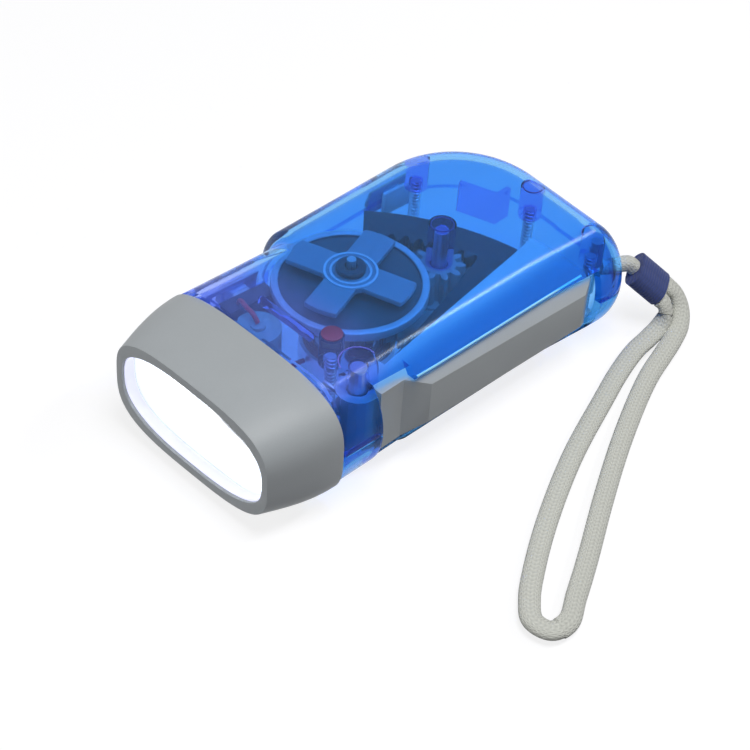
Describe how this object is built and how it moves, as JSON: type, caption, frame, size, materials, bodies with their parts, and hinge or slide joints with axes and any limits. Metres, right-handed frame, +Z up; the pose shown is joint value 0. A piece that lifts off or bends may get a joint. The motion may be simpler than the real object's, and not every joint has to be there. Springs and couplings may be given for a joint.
{
  "type": "squeeze dynamo torch",
  "caption": "Hand-squeezed dynamo torch with a clear blue housing, grey squeeze lever, geared flywheel, oval lamp head, slide switch and a looped wrist strap.",
  "frame": {"origin": "under the middle of the torch body, on the surface it lies on", "axes": "+X is the beam direction, +Y the side with the squeeze lever, +Z up with the torch lying on its right face"},
  "size_m": [0.1174, 0.1094, 0.032],
  "materials": {
    "clear_housing": "glossy clear blue plastic",
    "grey_plastic": "satin moulded grey plastic",
    "bright_steel": "plain turned steel",
    "lens_clear": "clear polished",
    "chromed_dish": "bright chromed plastic",
    "lamp_epoxy": "clear epoxy, lit white",
    "board_green": "circuit board",
    "dark_plastic": "satin dark plastic",
    "gear_nylon": "natural nylon",
    "pinion_brass": "cut brass",
    "flywheel_grey": "satin",
    "star_grey": "satin",
    "ferrite": "pressed ferrite",
    "coil_copper": "enamelled copper wire",
    "silver_plate": "silvered plate",
    "cell_sleeve": "shrunk sleeve",
    "wire_red": "insulation",
    "wire_dark": "insulation",
    "strap_braid": "soft flat braid",
    "sleeve_navy": "wound navy thread sleeve"
  },
  "bodies": {
    "housing": {"left_shell": "clear_housing", "right_shell": "clear_housing", "screw_1": "bright_steel", "screw_2": "bright_steel", "screw_3": "bright_steel", "screw_4": "bright_steel", "head_bezel": "grey_plastic", "lens": "lens_clear", "reflector": "chromed_dish", "led_1": "lamp_epoxy", "led_2": "lamp_epoxy", "led_3": "lamp_epoxy", "led_board": "board_green", "lever_pin": "bright_steel", "lever_spring": "bright_steel", "drive_gear_axle": "bright_steel", "stator_cup": "bright_steel", "stator_coil": "coil_copper", "switch_plate": "silver_plate", "switch_body": "dark_plastic", "storage_cell": "cell_sleeve", "coil_wire": "wire_red", "cell_wire": "wire_red", "lamp_wire": "wire_dark", "lanyard_bar": "bright_steel", "strap_neck": "strap_braid", "strap_crimp": "sleeve_navy", "wrist_strap": "strap_braid"},
    "lever": {"squeeze_lever": "grey_plastic", "toothed_sector": "dark_plastic"},
    "drive_wheel": {"drive_gear": "gear_nylon"},
    "rotor": {"clutch_pinion": "pinion_brass", "rotor_axle": "bright_steel", "flywheel": "flywheel_grey", "flywheel_star": "star_grey", "hub_bush": "dark_plastic", "rotor_magnet": "ferrite"},
    "switch_slider": {"switch_knob": "grey_plastic"},
    "lock": {"lock_slider": "grey_plastic"}
  },
  "joints": [
    {"name": "lever_swing", "type": "hinge", "parent": "housing", "child": "lever", "pos_m": [0.0243, 0.0169, 0.016], "axis": [0, 0, -1], "range_deg": [0, 16]},
    {"name": "drive_wheel_spin", "type": "hinge", "parent": "housing", "child": "drive_wheel", "pos_m": [-0.01887, -0.00169, 0.016], "axis": [0, 0, -1], "range_deg": [-0.5, 167]},
    {"name": "rotor_spin", "type": "hinge", "parent": "housing", "child": "rotor", "pos_m": [0.00366, -0.00633, 0.016], "axis": [0, 0, -1], "range_deg": [-600, 1]},
    {"name": "switch_slide", "type": "slide", "parent": "housing", "child": "switch_slider", "axis": [0.9963, -0.0854, 0], "range_m": [0, 0.004]},
    {"name": "lock_slide", "type": "slide", "parent": "housing", "child": "lock", "axis": [0.9976, -0.0698, 0], "range_m": [0, 0.003]}
  ],
  "couplings": [
    {"joint": "drive_wheel_spin", "follows": "lever_swing", "ratio": 10.4},
    {"joint": "rotor_spin", "follows": "lever_swing", "ratio": -37.44}
  ]
}
